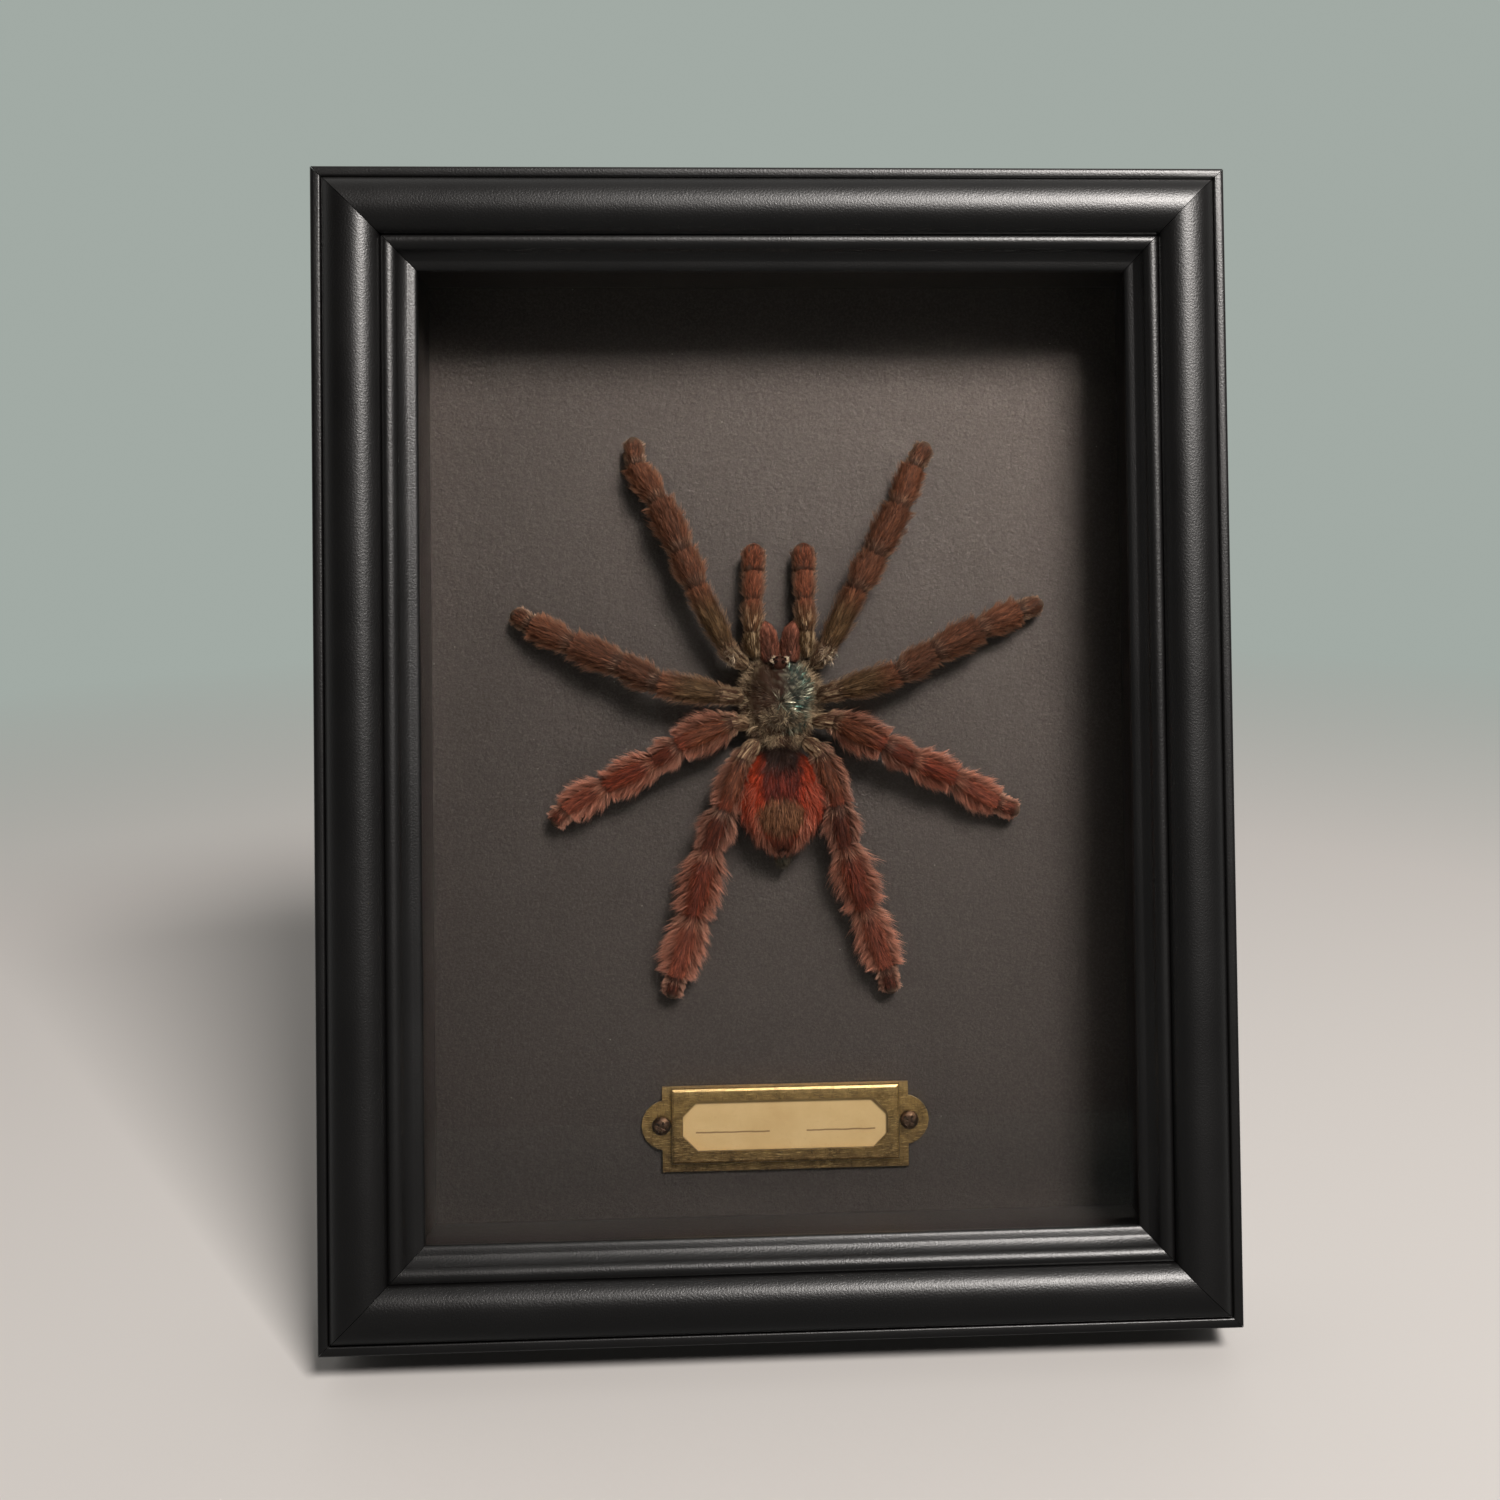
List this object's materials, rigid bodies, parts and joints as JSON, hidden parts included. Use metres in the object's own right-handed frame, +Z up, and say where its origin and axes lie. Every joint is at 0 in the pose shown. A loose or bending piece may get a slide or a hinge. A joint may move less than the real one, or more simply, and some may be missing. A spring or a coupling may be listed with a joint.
{
  "type": "framed tarantula specimen",
  "caption": "Dried tarantula with spread legs on a dark card behind glass, in a deep moulded black frame with a brass label holder, leaning back on an easel strut.",
  "frame": {"origin": "centre of the footprint, on the table, with the strut open", "axes": "+Z up; the glass faces -Y and leans back towards +Y, with +X to the right as seen from the front"},
  "size_m": [0.187, 0.1138, 0.2407],
  "materials": {
    "black_paint": "satin black paint with fine orange peel, on wood",
    "glass": "clear polished sheet",
    "dark_card": "matte dark grey-brown card with a fine tooth",
    "fibreboard": "bare brown fibreboard",
    "steel": "zinc-plated sheet",
    "aged_brass": "aged brass, worn bright on the edges",
    "dark_bronze": "dark bronzed screw heads",
    "cream_card": "uncoated cream card",
    "tarantula_hair": "dried cuticle under dense brown and orange-red hair"
  },
  "bodies": {
    "frame": {"rail_bottom": "black_paint", "rail_top": "black_paint", "rail_left": "black_paint", "rail_right": "black_paint", "glass_pane": "glass", "backing_card": "dark_card", "back_panel": "fibreboard", "spacer_top": "dark_card", "spacer_bottom": "dark_card", "spacer_left": "dark_card", "spacer_right": "dark_card", "retaining_point_1": "steel", "retaining_point_2": "steel", "retaining_point_3": "steel", "retaining_point_4": "steel", "retaining_point_5": "steel", "retaining_point_6": "steel", "retaining_point_7": "steel", "retaining_point_8": "steel", "label_holder": "aged_brass", "label_card": "cream_card", "label_screw_left": "dark_bronze", "label_screw_right": "dark_bronze", "tarantula": "tarantula_hair", "hinge_leaf_panel": "steel", "hinge_pin": "steel", "hinge_screw_left": "steel", "hinge_screw_right": "steel"},
    "strut": {"hinge_leaf_strut": "steel", "easel_strut": "fibreboard", "strut_rivet_left": "steel", "strut_rivet_right": "steel"}
  },
  "joints": [
    {"name": "strut_hinge", "type": "hinge", "parent": "frame", "child": "strut", "pos_m": [0, 0.01905, 0.17133], "axis": [1, 0, 0], "range_deg": [-24, 0]}
  ]
}
